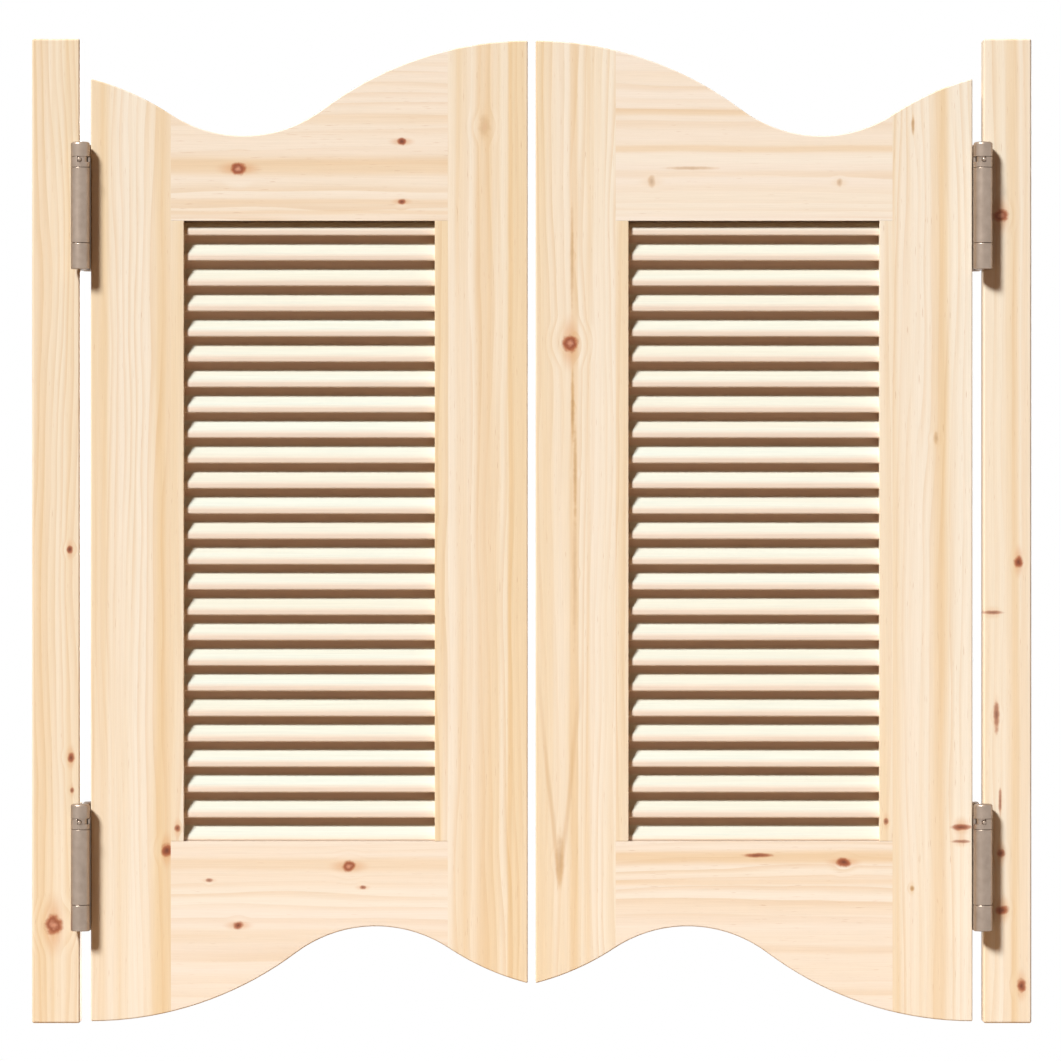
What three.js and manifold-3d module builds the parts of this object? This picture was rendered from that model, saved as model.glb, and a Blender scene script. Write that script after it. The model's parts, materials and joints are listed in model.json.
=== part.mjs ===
// Cafe swinging doors: two louvred pine leaves hung between two jamb posts on double-acting spring
// hinges. Millimetres, +Z up, front towards -Y, origin at the middle of the posts' feet.
import * as THREE from 'three';
import { mergeVertices } from 'three/addons/utils/BufferGeometryUtils.js';
import Module from 'manifold-3d';

const wasm = await Module();
wasm.setup();

// Posts and leaves
const POST_WIDTH = 48;
const POST_HEIGHT = 985;
const BOARD_THICKNESS = 30; // posts and leaves are cut from boards of one thickness
const LEAF_WIDTH = 437;
const LEAF_HEIGHT = 981;
const LEAF_LIFT = 2; // the leaf's lowest point above the posts' feet
const HANGING_GAP = 11; // post to leaf, where the hinge plates lie
const MEETING_GAP = 8; // leaf to leaf

// Wavy top edge; the bottom edge is the same curve turned half a turn
const CREST_RADIUS = 342;
const VALLEY_RADIUS = 133;
const SHOULDER_RADIUS = 259;
const VALLEY_DEPTH = 95; // below the crest at the meeting edge
const SHOULDER_RISE = 65; // of the shoulder arc's own top above the valley

// Joinery
const STILE_WIDTH = 80;
const RAIL_REACH = 180; // from the leaf's highest or lowest point to the rail's inner edge
const TENON_LENGTH = 40;
const TENON_THICKNESS = 10;
const TENON_WIDTH = 58;
const TENON_SHOULDER = 14; // from the rail's inner edge to its tenon
const STRIP_WIDTH = 13;
const SLAT_THICKNESS = 6;
const SLAT_PITCH = 25.35;
const SLAT_TILT = THREE.MathUtils.degToRad(48); // the front edge hangs low
const SLAT_SETBACK = 3.3; // from the leaf's front face to the slat's front corner
const SLAT_INSET = 0.7; // from the leaf's back face to the slat's back corner
const SLAT_SEAT = 9; // depth of a slat's slot in its strip
const LOWEST_SLAT = 12.4; // its middle above the bottom rail
const WOOD_CLEARANCE = 0.3;

// Spring hinges
const LOWER_HINGE_RISE = 91; // from the leaf's lowest point up to the hinge's foot
const UPPER_HINGE_DROP = 229; // from the leaf's highest point down to the hinge's foot
const BARREL_RADIUS = 9.5;
const BARREL_WALL = 2;
const BARREL_STANDOFF = 0.5; // barrel to the boards' faces
const LOWER_KNUCKLE = 26;
const SPRING_BARREL = 75;
const UPPER_KNUCKLE = 10.5;
const COLLAR_HEAD = 14.6;
const COLLAR_SKIRT = 8;
const COLLAR_DOME = 2.5;
const PLATE_THICKNESS = 1.5;
const PLATE_MARGIN = 2; // from the plate's free edge to the board's far face
const SCREW_HOLE_RADIUS = 2.5;
const SCREW_ROWS = 4;
const SCREW_EDGE = 7; // from the plate's ends and free edge to a hole's middle
const WEB_THICKNESS = 1.5;
const WEB_CLEARANCE = 0.35; // web to the plates that it passes
const FLOOR_THICKNESS = 2; // under the spring, and under the spindle in the lower knuckle
const SPINDLE_RADIUS = 3;
const SPRING_WIRE = 2.2;
const SPRING_TURNS = 5;
const STOP_PIN_RADIUS = 1.8;
const STOP_PIN_REACH = 16; // from the barrel's axis to the pin's outer end
const STOP_PIN_BELOW_RIM = 3.2; // pin's middle below the upper knuckle's rim
const COLLAR_HOLES = 4;
const COLLAR_TURN = THREE.MathUtils.degToRad(75); // room for the stop pin in the knuckle's slot
const STEEL_CLEARANCE = 0.3;

const BARREL_SIDES = 16;
const SPINDLE_SIDES = 10;
const SMALL_SIDES = 8;
const ARC_STEPS = 9;
const OVERCUT = 1; // how far a cut runs past the face that it opens

// Sizes that follow from those above
const HALF_BOARD = BOARD_THICKNESS / 2;
const LEAF_EDGE = MEETING_GAP / 2 + LEAF_WIDTH; // hanging edge, from the middle of the doorway
const POST_FACE = LEAF_EDGE + HANGING_GAP; // inner face of the post, from the same middle
const OPENING_LOW = RAIL_REACH;
const OPENING_HIGH = LEAF_HEIGHT - RAIL_REACH;
const BORE_RADIUS = BARREL_RADIUS - BARREL_WALL;
const SPINDLE_BORE = SPINDLE_RADIUS + STEEL_CLEARANCE;
const AXIS_Y = HALF_BOARD + BARREL_STANDOFF + BARREL_RADIUS;
const BARREL_LOW = LOWER_KNUCKLE + STEEL_CLEARANCE;
const BARREL_HIGH = BARREL_LOW + SPRING_BARREL;
const KNUCKLE_LOW = BARREL_HIGH + STEEL_CLEARANCE;
const KNUCKLE_HIGH = KNUCKLE_LOW + UPPER_KNUCKLE;
const COLLAR_LOW = KNUCKLE_HIGH + STEEL_CLEARANCE;
const COLLAR_HIGH = COLLAR_LOW + COLLAR_HEAD;
const SKIRT_LOW = COLLAR_LOW - COLLAR_SKIRT;
const SKIRT_RADIUS = BORE_RADIUS * Math.cos(Math.PI / BARREL_SIDES) - STEEL_CLEARANCE;
const STOP_PIN_Z = KNUCKLE_HIGH - STOP_PIN_BELOW_RIM;

// Materials
const pine = new THREE.MeshStandardMaterial({ color: 0xf0d2ab, roughness: 0.55, metalness: 0 });
const paleSlat = new THREE.MeshStandardMaterial({ color: 0xf7e6c9, roughness: 0.6, metalness: 0 });
const satinSteel = new THREE.MeshStandardMaterial({ color: 0xa9a6a3, roughness: 0.38, metalness: 0.9 });
const springSteel = new THREE.MeshStandardMaterial({ color: 0x6d6b69, roughness: 0.5, metalness: 0.9 });

// Solids: three.js geometry in and out of the boolean library
function solid(geometry) {
  const bare = geometry.clone();
  for (const name of Object.keys(bare.attributes)) {
    if (name !== 'position') bare.deleteAttribute(name);
  }
  const merged = mergeVertices(bare, 1e-4);
  return new wasm.Manifold(new wasm.Mesh({
    numProp: 3,
    vertProperties: new Float32Array(merged.attributes.position.array),
    triVerts: new Uint32Array(merged.index.array),
  }));
}

function geometryOf(manifold) {
  const mesh = manifold.getMesh();
  const geometry = new THREE.BufferGeometry();
  geometry.setAttribute('position', new THREE.BufferAttribute(mesh.vertProperties, 3));
  geometry.setIndex(new THREE.BufferAttribute(mesh.triVerts, 1));
  return geometry;
}

// A box between two corners
function block(low, high) {
  const [dx, dy, dz] = high.map((value, i) => value - low[i]);
  const box = new THREE.BoxGeometry(dx, dy, dz);
  return solid(box.translate(low[0] + dx / 2, low[1] + dy / 2, low[2] + dz / 2));
}

// An upright cylinder on the axis (x, y), from z = low to z = high
function cylinder(radius, x, y, low, high, sides) {
  const upright = new THREE.CylinderGeometry(radius, radius, high - low, sides).rotateX(Math.PI / 2);
  return solid(upright.translate(x, y, (low + high) / 2));
}

// A revolved profile of [radius, z] pairs on the axis (x, y)
function revolve(profile, x, y, sides) {
  const points = profile.map(([radius, z]) => new THREE.Vector2(radius, z));
  return solid(new THREE.LatheGeometry(points, sides).rotateX(Math.PI / 2).translate(x, y, 0));
}

// The mirror image across the middle of the doorway, with its faces turned outwards again
function mirrored(geometry) {
  const image = geometry.clone().scale(-1, 1, 1);
  const corners = image.index.array;
  for (let i = 0; i < corners.length; i += 3) {
    [corners[i], corners[i + 2]] = [corners[i + 2], corners[i]];
  }
  return image;
}

// Leaf outline: u runs from the hanging edge to the meeting edge, v from the lowest point up.
// Three tangent arcs make the wavy edge, and they are drawn twice, the second time half a turn round.
function leafOutline() {
  const crestPair = CREST_RADIUS + VALLEY_RADIUS;
  const shoulderPair = SHOULDER_RADIUS + VALLEY_RADIUS;
  const crestTurn = Math.acos(1 - VALLEY_DEPTH / crestPair);
  const shoulderTurn = Math.acos(1 - SHOULDER_RISE / shoulderPair);
  const valleyU = LEAF_WIDTH - crestPair * Math.sin(crestTurn);
  const shoulderU = valleyU - shoulderPair * Math.sin(shoulderTurn);
  const valleyV = LEAF_HEIGHT - VALLEY_DEPTH;
  const edgeTurn = Math.asin(-shoulderU / SHOULDER_RADIUS);
  const up = Math.PI / 2;

  const wave = new THREE.Path();
  wave.absarc(LEAF_WIDTH, LEAF_HEIGHT - CREST_RADIUS, CREST_RADIUS, up, up + crestTurn, false);
  wave.absarc(valleyU, valleyV + VALLEY_RADIUS, VALLEY_RADIUS, crestTurn - up, -shoulderTurn - up, true);
  const shoulderV = valleyV + SHOULDER_RISE - SHOULDER_RADIUS;
  wave.absarc(shoulderU, shoulderV, SHOULDER_RADIUS, up - shoulderTurn, up - edgeTurn, false);

  const top = wave.getPoints(ARC_STEPS);
  const bottom = top.map((point) => new THREE.Vector2(LEAF_WIDTH - point.x, LEAF_HEIGHT - point.y));
  return new THREE.Shape([...top, ...bottom]);
}

// An outline in the plane of the leaf, given the leaf's thickness
function board(shape) {
  const slab = new THREE.ExtrudeGeometry(shape, { depth: BOARD_THICKNESS, bevelEnabled: false });
  return solid(slab.rotateX(Math.PI / 2).translate(0, HALF_BOARD, 0));
}

const wholeLeaf = board(leafOutline());
const INNER_EDGE = LEAF_WIDTH - STILE_WIDTH;
const RAILS = [
  { name: 'top_rail', low: OPENING_HIGH, high: LEAF_HEIGHT, tenonLow: OPENING_HIGH + TENON_SHOULDER },
  { name: 'bottom_rail', low: 0, high: OPENING_LOW, tenonLow: OPENING_LOW - TENON_SHOULDER - TENON_WIDTH },
];

// A tenon, or with a clearance its mortise, that reaches from u = low to u = high
function tenon(rail, low, high, clearance) {
  const half = TENON_THICKNESS / 2 + clearance;
  return block(
    [low, -half, rail.tenonLow - clearance],
    [high, half, rail.tenonLow + TENON_WIDTH + clearance],
  );
}

// A stile between two edges; both rails' tenons reach into it from the edge on the louvre's side
function makeStile(low, high) {
  const depth = TENON_LENGTH + WOOD_CLEARANCE;
  const mortise = low === 0 ? [high - depth, high + OVERCUT] : [low - OVERCUT, low + depth];
  let stile = wholeLeaf.intersect(block([low, -HALF_BOARD, 0], [high, HALF_BOARD, LEAF_HEIGHT]));
  for (const rail of RAILS) {
    stile = stile.subtract(tenon(rail, ...mortise, WOOD_CLEARANCE));
  }
  return geometryOf(stile);
}

function makeRail(rail) {
  const low = STILE_WIDTH + WOOD_CLEARANCE;
  const high = INNER_EDGE - WOOD_CLEARANCE;
  const body = wholeLeaf.intersect(block([low, -HALF_BOARD, rail.low], [high, HALF_BOARD, rail.high]));
  return geometryOf(body.add(tenon(rail, STILE_WIDTH - TENON_LENGTH, INNER_EDGE + TENON_LENGTH, 0)));
}

// Louvre: every slat is one tilted board, trimmed where it meets a rail
const SLAT_SPAN = BOARD_THICKNESS - SLAT_SETBACK - SLAT_INSET; // front to back, corner to corner
const SLAT_Y = (SLAT_SETBACK - SLAT_INSET) / 2; // its middle, behind the leaf's
const SLAT_WIDTH = (SLAT_SPAN - SLAT_THICKNESS * Math.sin(SLAT_TILT)) / Math.cos(SLAT_TILT);
const SLAT_DROP = (SLAT_WIDTH * Math.sin(SLAT_TILT) + SLAT_THICKNESS * Math.cos(SLAT_TILT)) / 2;
const SLAT_COUNT = Math.ceil((OPENING_HIGH - OPENING_LOW - LOWEST_SLAT + SLAT_DROP) / SLAT_PITCH);
const STRIP_LOW = OPENING_LOW + WOOD_CLEARANCE;
const STRIP_HIGH = OPENING_HIGH - WOOD_CLEARANCE;
const HANGING_STRIP = STILE_WIDTH + WOOD_CLEARANCE; // outer side of the strip by the hanging stile
const MEETING_STRIP = INNER_EDGE - WOOD_CLEARANCE; // outer side of the strip by the meeting stile

function slats(low, high, clearance) {
  const width = SLAT_WIDTH + 2 * clearance;
  const thickness = SLAT_THICKNESS + 2 * clearance;
  let all = null;
  for (let i = 0; i < SLAT_COUNT; i += 1) {
    const slat = new THREE.BoxGeometry(high - low, width, thickness).rotateX(SLAT_TILT);
    const middle = OPENING_LOW + LOWEST_SLAT + i * SLAT_PITCH;
    const placed = solid(slat.translate((low + high) / 2, SLAT_Y, middle));
    all = all ? all.add(placed) : placed;
  }
  return all;
}

function strip(low, high) {
  return block([low, -HALF_BOARD, STRIP_LOW], [high, HALF_BOARD, STRIP_HIGH]);
}

// The strip by the hanging stile, with every slat fast in it
function makeSlattedStrip() {
  const tips = MEETING_STRIP - STRIP_WIDTH + SLAT_SEAT - WOOD_CLEARANCE;
  const face = HANGING_STRIP + STRIP_WIDTH;
  const reach = block([face - SLAT_SEAT, -HALF_BOARD, STRIP_LOW], [tips, HALF_BOARD, STRIP_HIGH]);
  const trimmed = slats(face - SLAT_SEAT, tips, 0).intersect(reach);
  return geometryOf(strip(HANGING_STRIP, face).add(trimmed));
}

// The strip by the meeting stile, slotted for the slats' other ends
function makeSlottedStrip() {
  const face = MEETING_STRIP - STRIP_WIDTH;
  const slots = slats(face - SLAT_SEAT, face + SLAT_SEAT, WOOD_CLEARANCE);
  return geometryOf(strip(face, MEETING_STRIP).subtract(slots));
}

// Hinge plan, left hand: x from the post's inner face towards the leaf, y to the back, z from the
// hinge's foot. The front axis lies over the post's edge, the rear one half a turn round the gap's
// middle, and both are far enough from the plates for the straight web to pass between them.
const WEB_SLOPE = (AXIS_Y - HALF_BOARD) / (2 * AXIS_Y);
const PLATE_SEAT = STEEL_CLEARANCE + PLATE_THICKNESS + WEB_CLEARANCE;
const AXIS_X = (PLATE_SEAT + WEB_THICKNESS / 2 - HANGING_GAP * WEB_SLOPE) / (1 - 2 * WEB_SLOPE);
const GAP_MIDDLE = HANGING_GAP / 2;

// One hinge leaf, for the front axis: a plate on the post, an upper and a lower knuckle
function makeHingeLeaf() {
  const plateBack = HALF_BOARD - PLATE_MARGIN;
  const plateLow = [STEEL_CLEARANCE, -HALF_BOARD, 0];
  const plateHigh = [STEEL_CLEARANCE + PLATE_THICKNESS, plateBack, KNUCKLE_HIGH];
  const tongue = -AXIS_Y + BARREL_RADIUS - BARREL_WALL / 2;
  let leaf = block(plateLow, plateHigh);
  for (const [low, high] of [[0, LOWER_KNUCKLE], [KNUCKLE_LOW, KNUCKLE_HIGH]]) {
    leaf = leaf.add(block([plateLow[0], tongue, low], [plateHigh[0], -HALF_BOARD + BARREL_WALL, high]));
    leaf = leaf.add(cylinder(BARREL_RADIUS, AXIS_X, -AXIS_Y, low, high, BARREL_SIDES));
  }
  const spindleSeat = [FLOOR_THICKNESS, LOWER_KNUCKLE + OVERCUT];
  leaf = leaf.subtract(cylinder(SPINDLE_BORE, AXIS_X, -AXIS_Y, ...spindleSeat, SPINDLE_SIDES));
  const sleeve = [KNUCKLE_LOW - OVERCUT, KNUCKLE_HIGH + OVERCUT];
  leaf = leaf.subtract(cylinder(BORE_RADIUS, AXIS_X, -AXIS_Y, ...sleeve, BARREL_SIDES));
  leaf = leaf.subtract(stopSlot());
  const pitch = (KNUCKLE_HIGH - 2 * SCREW_EDGE) / (SCREW_ROWS - 1);
  for (let row = 0; row < SCREW_ROWS; row += 1) {
    const side = row % 2 ? plateBack - SCREW_EDGE : -HALF_BOARD + SCREW_EDGE;
    const hole = new THREE.CylinderGeometry(
      SCREW_HOLE_RADIUS, SCREW_HOLE_RADIUS, HANGING_GAP, SMALL_SIDES,
    ).rotateZ(Math.PI / 2);
    leaf = leaf.subtract(solid(hole.translate(0, side, SCREW_EDGE + row * pitch)));
  }
  return geometryOf(leaf);
}

// The slot in the upper knuckle's rim where the stop pin rests and travels: a sector from just
// behind the pin, which points to the front, round towards the leaf
function stopSlot() {
  const margin = Math.asin((STOP_PIN_RADIUS + STEEL_CLEARANCE) / BORE_RADIUS);
  const start = -Math.PI / 2 - margin;
  const end = -Math.PI / 2 + COLLAR_TURN + margin;
  const reach = 2 * BARREL_RADIUS;
  const sector = new THREE.Shape();
  sector.moveTo(0, 0);
  sector.lineTo(reach * Math.cos(start), reach * Math.sin(start));
  sector.absarc(0, 0, reach, start, end, false);
  const depth = STOP_PIN_BELOW_RIM + STOP_PIN_RADIUS + STEEL_CLEARANCE;
  const wedge = new THREE.ExtrudeGeometry(sector, {
    depth: depth + OVERCUT, bevelEnabled: false, curveSegments: SMALL_SIDES,
  });
  return solid(wedge.translate(AXIS_X, -AXIS_Y, KNUCKLE_HIGH - depth));
}

// The web: a straight plate from axis to axis with a spring barrel at each end
function makeWeb() {
  const rearX = HANGING_GAP - AXIS_X;
  const span = Math.hypot(rearX - AXIS_X, 2 * AXIS_Y);
  const plate = new THREE.BoxGeometry(WEB_THICKNESS, span, SPRING_BARREL);
  plate.rotateZ(-Math.atan2(rearX - AXIS_X, 2 * AXIS_Y));
  let web = solid(plate.translate(GAP_MIDDLE, 0, (BARREL_LOW + BARREL_HIGH) / 2));
  const ends = [[AXIS_X, -AXIS_Y], [rearX, AXIS_Y]];
  for (const [x, y] of ends) {
    web = web.add(cylinder(BARREL_RADIUS, x, y, BARREL_LOW, BARREL_HIGH, BARREL_SIDES));
  }
  for (const [x, y] of ends) {
    const chamber = [BARREL_LOW + FLOOR_THICKNESS, BARREL_HIGH + OVERCUT];
    const spindleHole = [BARREL_LOW - OVERCUT, BARREL_HIGH];
    web = web.subtract(cylinder(BORE_RADIUS, x, y, ...chamber, BARREL_SIDES));
    web = web.subtract(cylinder(SPINDLE_BORE, x, y, ...spindleHole, SPINDLE_SIDES));
  }
  return geometryOf(web);
}

// The spindle stands on the lower knuckle's floor and ends level with the collar's crown
function makeSpindle() {
  const foot = FLOOR_THICKNESS + STEEL_CLEARANCE;
  const chamfer = SPINDLE_RADIUS / 3;
  return geometryOf(revolve([
    [0, foot], [SPINDLE_RADIUS, foot], [SPINDLE_RADIUS, COLLAR_HIGH - chamfer],
    [SPINDLE_RADIUS - chamfer, COLLAR_HIGH], [0, COLLAR_HIGH],
  ], AXIS_X, -AXIS_Y, SPINDLE_SIDES));
}

// The torsion spring: square wire wound between the barrel's floor and the collar's skirt
class Helix extends THREE.Curve {
  constructor(radius, turns, low, high) {
    super();
    Object.assign(this, { radius, turns, low, high });
  }

  getPoint(t, target = new THREE.Vector3()) {
    const turn = 2 * Math.PI * this.turns * t;
    const z = THREE.MathUtils.lerp(this.low, this.high, t);
    return target.set(this.radius * Math.cos(turn), this.radius * Math.sin(turn), z);
  }
}

function makeSpring() {
  const half = SPRING_WIRE / 2;
  const coil = (SPINDLE_RADIUS + BORE_RADIUS * Math.cos(Math.PI / BARREL_SIDES)) / 2;
  const low = BARREL_LOW + FLOOR_THICKNESS + STEEL_CLEARANCE + SPRING_WIRE * Math.SQRT1_2;
  const high = SKIRT_LOW - STEEL_CLEARANCE - SPRING_WIRE * Math.SQRT1_2;
  const wire = new THREE.Shape([
    new THREE.Vector2(-half, -half), new THREE.Vector2(half, -half),
    new THREE.Vector2(half, half), new THREE.Vector2(-half, half),
  ]);
  const wound = new THREE.ExtrudeGeometry(wire, {
    steps: SPRING_TURNS * SMALL_SIDES,
    extrudePath: new Helix(coil, SPRING_TURNS, low, high),
  });
  return geometryOf(solid(wound.translate(AXIS_X, -AXIS_Y, 0)));
}

// The tension collar: a domed head on the barrel and a drilled skirt inside the upper knuckle
function makeCollar() {
  const rim = COLLAR_HIGH - COLLAR_DOME;
  let collar = revolve([
    [0, SKIRT_LOW], [SKIRT_RADIUS, SKIRT_LOW], [SKIRT_RADIUS, COLLAR_LOW], [BARREL_RADIUS, COLLAR_LOW],
    [BARREL_RADIUS, rim], [BARREL_RADIUS - COLLAR_DOME, COLLAR_HIGH], [0, COLLAR_HIGH],
  ], AXIS_X, -AXIS_Y, BARREL_SIDES);
  const through = [SKIRT_LOW - OVERCUT, COLLAR_HIGH + OVERCUT];
  collar = collar.subtract(cylinder(SPINDLE_BORE, AXIS_X, -AXIS_Y, ...through, SPINDLE_SIDES));
  const radius = STOP_PIN_RADIUS + STEEL_CLEARANCE;
  for (let i = 0; i < COLLAR_HOLES; i += 1) {
    const hole = new THREE.CylinderGeometry(radius, radius, BARREL_RADIUS, SMALL_SIDES);
    hole.translate(0, -BARREL_RADIUS / 2, 0).rotateZ((2 * Math.PI * i) / COLLAR_HOLES);
    collar = collar.subtract(solid(hole.translate(AXIS_X, -AXIS_Y, STOP_PIN_Z)));
  }
  return geometryOf(collar);
}

// The stop pin: from just outside the spindle, through collar and slot, to the front
function makeStopPin() {
  const inner = SPINDLE_BORE + STEEL_CLEARANCE;
  const length = STOP_PIN_REACH - inner;
  const pin = new THREE.CylinderGeometry(STOP_PIN_RADIUS, STOP_PIN_RADIUS, length, SMALL_SIDES);
  return geometryOf(solid(pin.translate(AXIS_X, -AXIS_Y - inner - length / 2, STOP_PIN_Z)));
}

function makePost() {
  return geometryOf(block([-POST_WIDTH, -HALF_BOARD, 0], [0, HALF_BOARD, POST_HEIGHT]));
}

// Assembly
const leafPieces = {
  hanging_stile: [makeStile(0, STILE_WIDTH), pine],
  meeting_stile: [makeStile(INNER_EDGE, LEAF_WIDTH), pine],
  slatted_strip: [makeSlattedStrip(), paleSlat],
  slotted_strip: [makeSlottedStrip(), pine],
};
for (const rail of RAILS) {
  leafPieces[rail.name] = [makeRail(rail), pine];
}

// Each barrel's own pieces, made for the front axis and turned half a turn for the rear one
const barrelPieces = {
  spindle: [makeSpindle(), satinSteel],
  spring: [makeSpring(), springSteel],
  collar: [makeCollar(), satinSteel],
  stop_pin: [makeStopPin(), satinSteel],
};
const hingeLeaf = makeHingeLeaf();
const web = makeWeb();
const post = makePost();

const hingeHeights = {
  lower: LEAF_LIFT + LOWER_HINGE_RISE,
  upper: LEAF_LIFT + LEAF_HEIGHT - UPPER_HINGE_DROP,
};

const doors = new THREE.Group();
for (const [side, sign] of [['left', 1], ['right', -1]]) {
  const handed = (geometry) => (sign > 0 ? geometry : mirrored(geometry));
  const place = (parent, name, [geometry, material]) => {
    const mesh = new THREE.Mesh(handed(geometry), material);
    mesh.name = name;
    parent.add(mesh);
  };

  const jamb = new THREE.Group();
  jamb.position.x = -sign * POST_FACE;
  place(jamb, `${side}_post`, [post, pine]);
  doors.add(jamb);

  const leaf = new THREE.Group();
  leaf.position.set(-sign * LEAF_EDGE, 0, LEAF_LIFT);
  for (const [name, piece] of Object.entries(leafPieces)) {
    place(leaf, `${side}_${name}`, piece);
  }
  doors.add(leaf);

  for (const [level, height] of Object.entries(hingeHeights)) {
    const hinge = `${side}_${level}_hinge`;
    const front = new THREE.Group();
    front.position.set(-sign * POST_FACE, 0, height);
    const rear = new THREE.Group();
    rear.position.set(-sign * LEAF_EDGE, 0, height);
    rear.rotation.z = Math.PI;
    place(front, `${hinge}_jamb_leaf`, [hingeLeaf, satinSteel]);
    place(front, `${hinge}_web`, [web, satinSteel]);
    place(rear, `${hinge}_door_leaf`, [hingeLeaf, satinSteel]);
    for (const [name, piece] of Object.entries(barrelPieces)) {
      place(front, `${hinge}_front_${name}`, piece);
      place(rear, `${hinge}_rear_${name}`, piece);
    }
    doors.add(front, rear);
  }
}

export default doors;
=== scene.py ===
"""Looks of the cafe swinging doors: eased pine boards, louvre slats and satin steel spring hinges.

Metres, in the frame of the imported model: front towards -Y, +Z up, the doorway's middle at X = 0.
"""

import functools
import json
import math
import random

import bmesh
import bpy
from mathutils import Matrix, Vector


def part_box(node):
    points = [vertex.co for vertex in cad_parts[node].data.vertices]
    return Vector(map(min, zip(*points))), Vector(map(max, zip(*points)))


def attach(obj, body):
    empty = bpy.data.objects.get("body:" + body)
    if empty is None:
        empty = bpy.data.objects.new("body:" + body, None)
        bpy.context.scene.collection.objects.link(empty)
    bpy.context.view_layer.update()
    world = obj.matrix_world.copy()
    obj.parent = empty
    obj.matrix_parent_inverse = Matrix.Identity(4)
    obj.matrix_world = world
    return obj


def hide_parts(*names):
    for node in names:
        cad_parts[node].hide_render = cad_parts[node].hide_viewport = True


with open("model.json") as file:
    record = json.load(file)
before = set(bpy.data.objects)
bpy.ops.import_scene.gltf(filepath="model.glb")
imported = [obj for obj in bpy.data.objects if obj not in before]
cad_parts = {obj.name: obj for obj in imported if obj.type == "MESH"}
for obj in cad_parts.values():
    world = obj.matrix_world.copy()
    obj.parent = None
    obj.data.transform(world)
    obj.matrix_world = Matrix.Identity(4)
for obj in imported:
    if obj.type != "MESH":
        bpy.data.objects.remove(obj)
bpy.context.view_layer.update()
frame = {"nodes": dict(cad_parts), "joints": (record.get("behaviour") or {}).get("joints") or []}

MM = 0.001
SIDES = ("left", "right")
LEVELS = ("lower", "upper")
SAME_POINT = 1e-6
SAME_PLANE = math.radians(0.5)
EASED_CORNER = math.radians(30)
SHARP_CORNER = math.radians(50)

# Photograph: its frame, and how many millimetres of the doors one pixel covers
PHOTO_PIXELS = 1061
MM_PER_PIXEL = 1.003
DOORWAY_MIDDLE_PIXEL = 531.7
POST_FOOT_PIXEL = 1022.0

# Boards
BOARD_EASE = 1.3 * MM
POST_EASE = 2.0 * MM
STRIP_WIDTH = 13 * MM
STRIP_EASE = BOARD_EASE / 2
SEAM_REACH = 0.5 * MM

# Slats: planed faces lie behind the front of the strips by the setback and before their back by the inset
SLAT_THICKNESS = 6 * MM
SLAT_PITCH = 25.35 * MM
SLAT_TILT = math.radians(48)
SLAT_SETBACK = 5.2 * MM
SLAT_INSET = 2.6 * MM
SLAT_SEAT = 8.5 * MM
SLAT_NOSE = 4.4 * MM
SLAT_NOSE_EASE = 2.4 * MM
SLAT_EASE = 1.0 * MM
LOWEST_SLAT = 12.4 * MM

# Hinges
BARREL_STEPS = 48
PIN_STEPS = 24
STEEL_EASE = 0.45 * MM
STEEL_GAP = 0.3 * MM
BARREL_WALL = 2 * MM
BARREL_STANDOFF = 0.5 * MM
FLOOR_THICKNESS = 2 * MM
PLATE_THICKNESS = 1.5 * MM
PLATE_MARGIN = 2 * MM
WEB_THICKNESS = 1.5 * MM
WELD_INSET = 0.1 * MM
KNUCKLE_EASE = 2 * STEEL_EASE
SLOT_DEPTH = 5.3 * MM
SLOT_MARGIN = math.radians(16.3)
COLLAR_EASE = STEEL_EASE / 2
COLLAR_CORNER = math.radians(40)
COLLAR_DOME = 2.5 * MM
COLLAR_SKIRT = 8 * MM
COLLAR_HOLES = 4
DOME_ANGLES = [math.radians(angle) for angle in range(90, -1, -15)]
SCREW_EDGE = 7 * MM
SCREW_ROWS = 4
SCREW_HEAD = 4.2 * MM
SCREW_HEIGHT = 0.5 * MM
SCREW_CROWN = SCREW_HEAD * 0.9
SCREW_CROWN_HEIGHT = SCREW_HEIGHT * 0.6
SCREW_SLOT = 0.9 * MM
SCREW_SLOT_FLOOR = SCREW_HEIGHT * 0.15
SCREW_SLOT_REACH = SCREW_HEAD * 1.2
SCREW_TURN, SCREW_TURN_STEP = math.radians(35), math.radians(50)

# Figure of the boards, drawn by lot, in mm: how far the patterns are shifted, and where the heart of
# the log lies beside and behind a board
FIGURE_SEED = 7
FIGURE_SHIFT = 4000
RAIL_PITH_ASIDE = 30
STILE_PITH_ASIDE = (70, 130)
STRIP_PITH_ASIDE = (70, 110)
PITH_BEHIND = (45, 80)
STRIP_PITH_BEHIND = 60

# Pattern sizes in pine: length along the grain and width across it in mm, and how finely broken up
PINE_FIGURE = {
    "bends": (520, 70, 2),
    "ripples": (130, 16, 2),
    "bands": (1500, 24, 3),
    "clearness": (700, 20, 2),
    "fibres": (55, 0.9, 2),
    "flecks": (16, 0.9, 1),
    "knot_edges": (6, 6, 2),
}
GRAIN_BEND = 22
GRAIN_RIPPLE = 2.5
RING_SPACING = 6.2
LATE_WOOD = (0.3, 0.92)  # from where to where in a ring its late wood darkens
RING_EDGE = 0.93  # from where it pales again, up to the next ring
RING_CLEARNESS = (0.05, 0.30)
UPRIGHT_BANDS, RAIL_BANDS = 0.75, 0.22
STREAK_CORE, STREAK_SHARE = 0.25, 0.7
ARCH_LINE = (0.3, 3.6)
ARCH_START = (-6, 4)
ARCH_FADE = 0.4  # share of an arch's length after which it fades
FLECK_SHARE = 0.4

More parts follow.
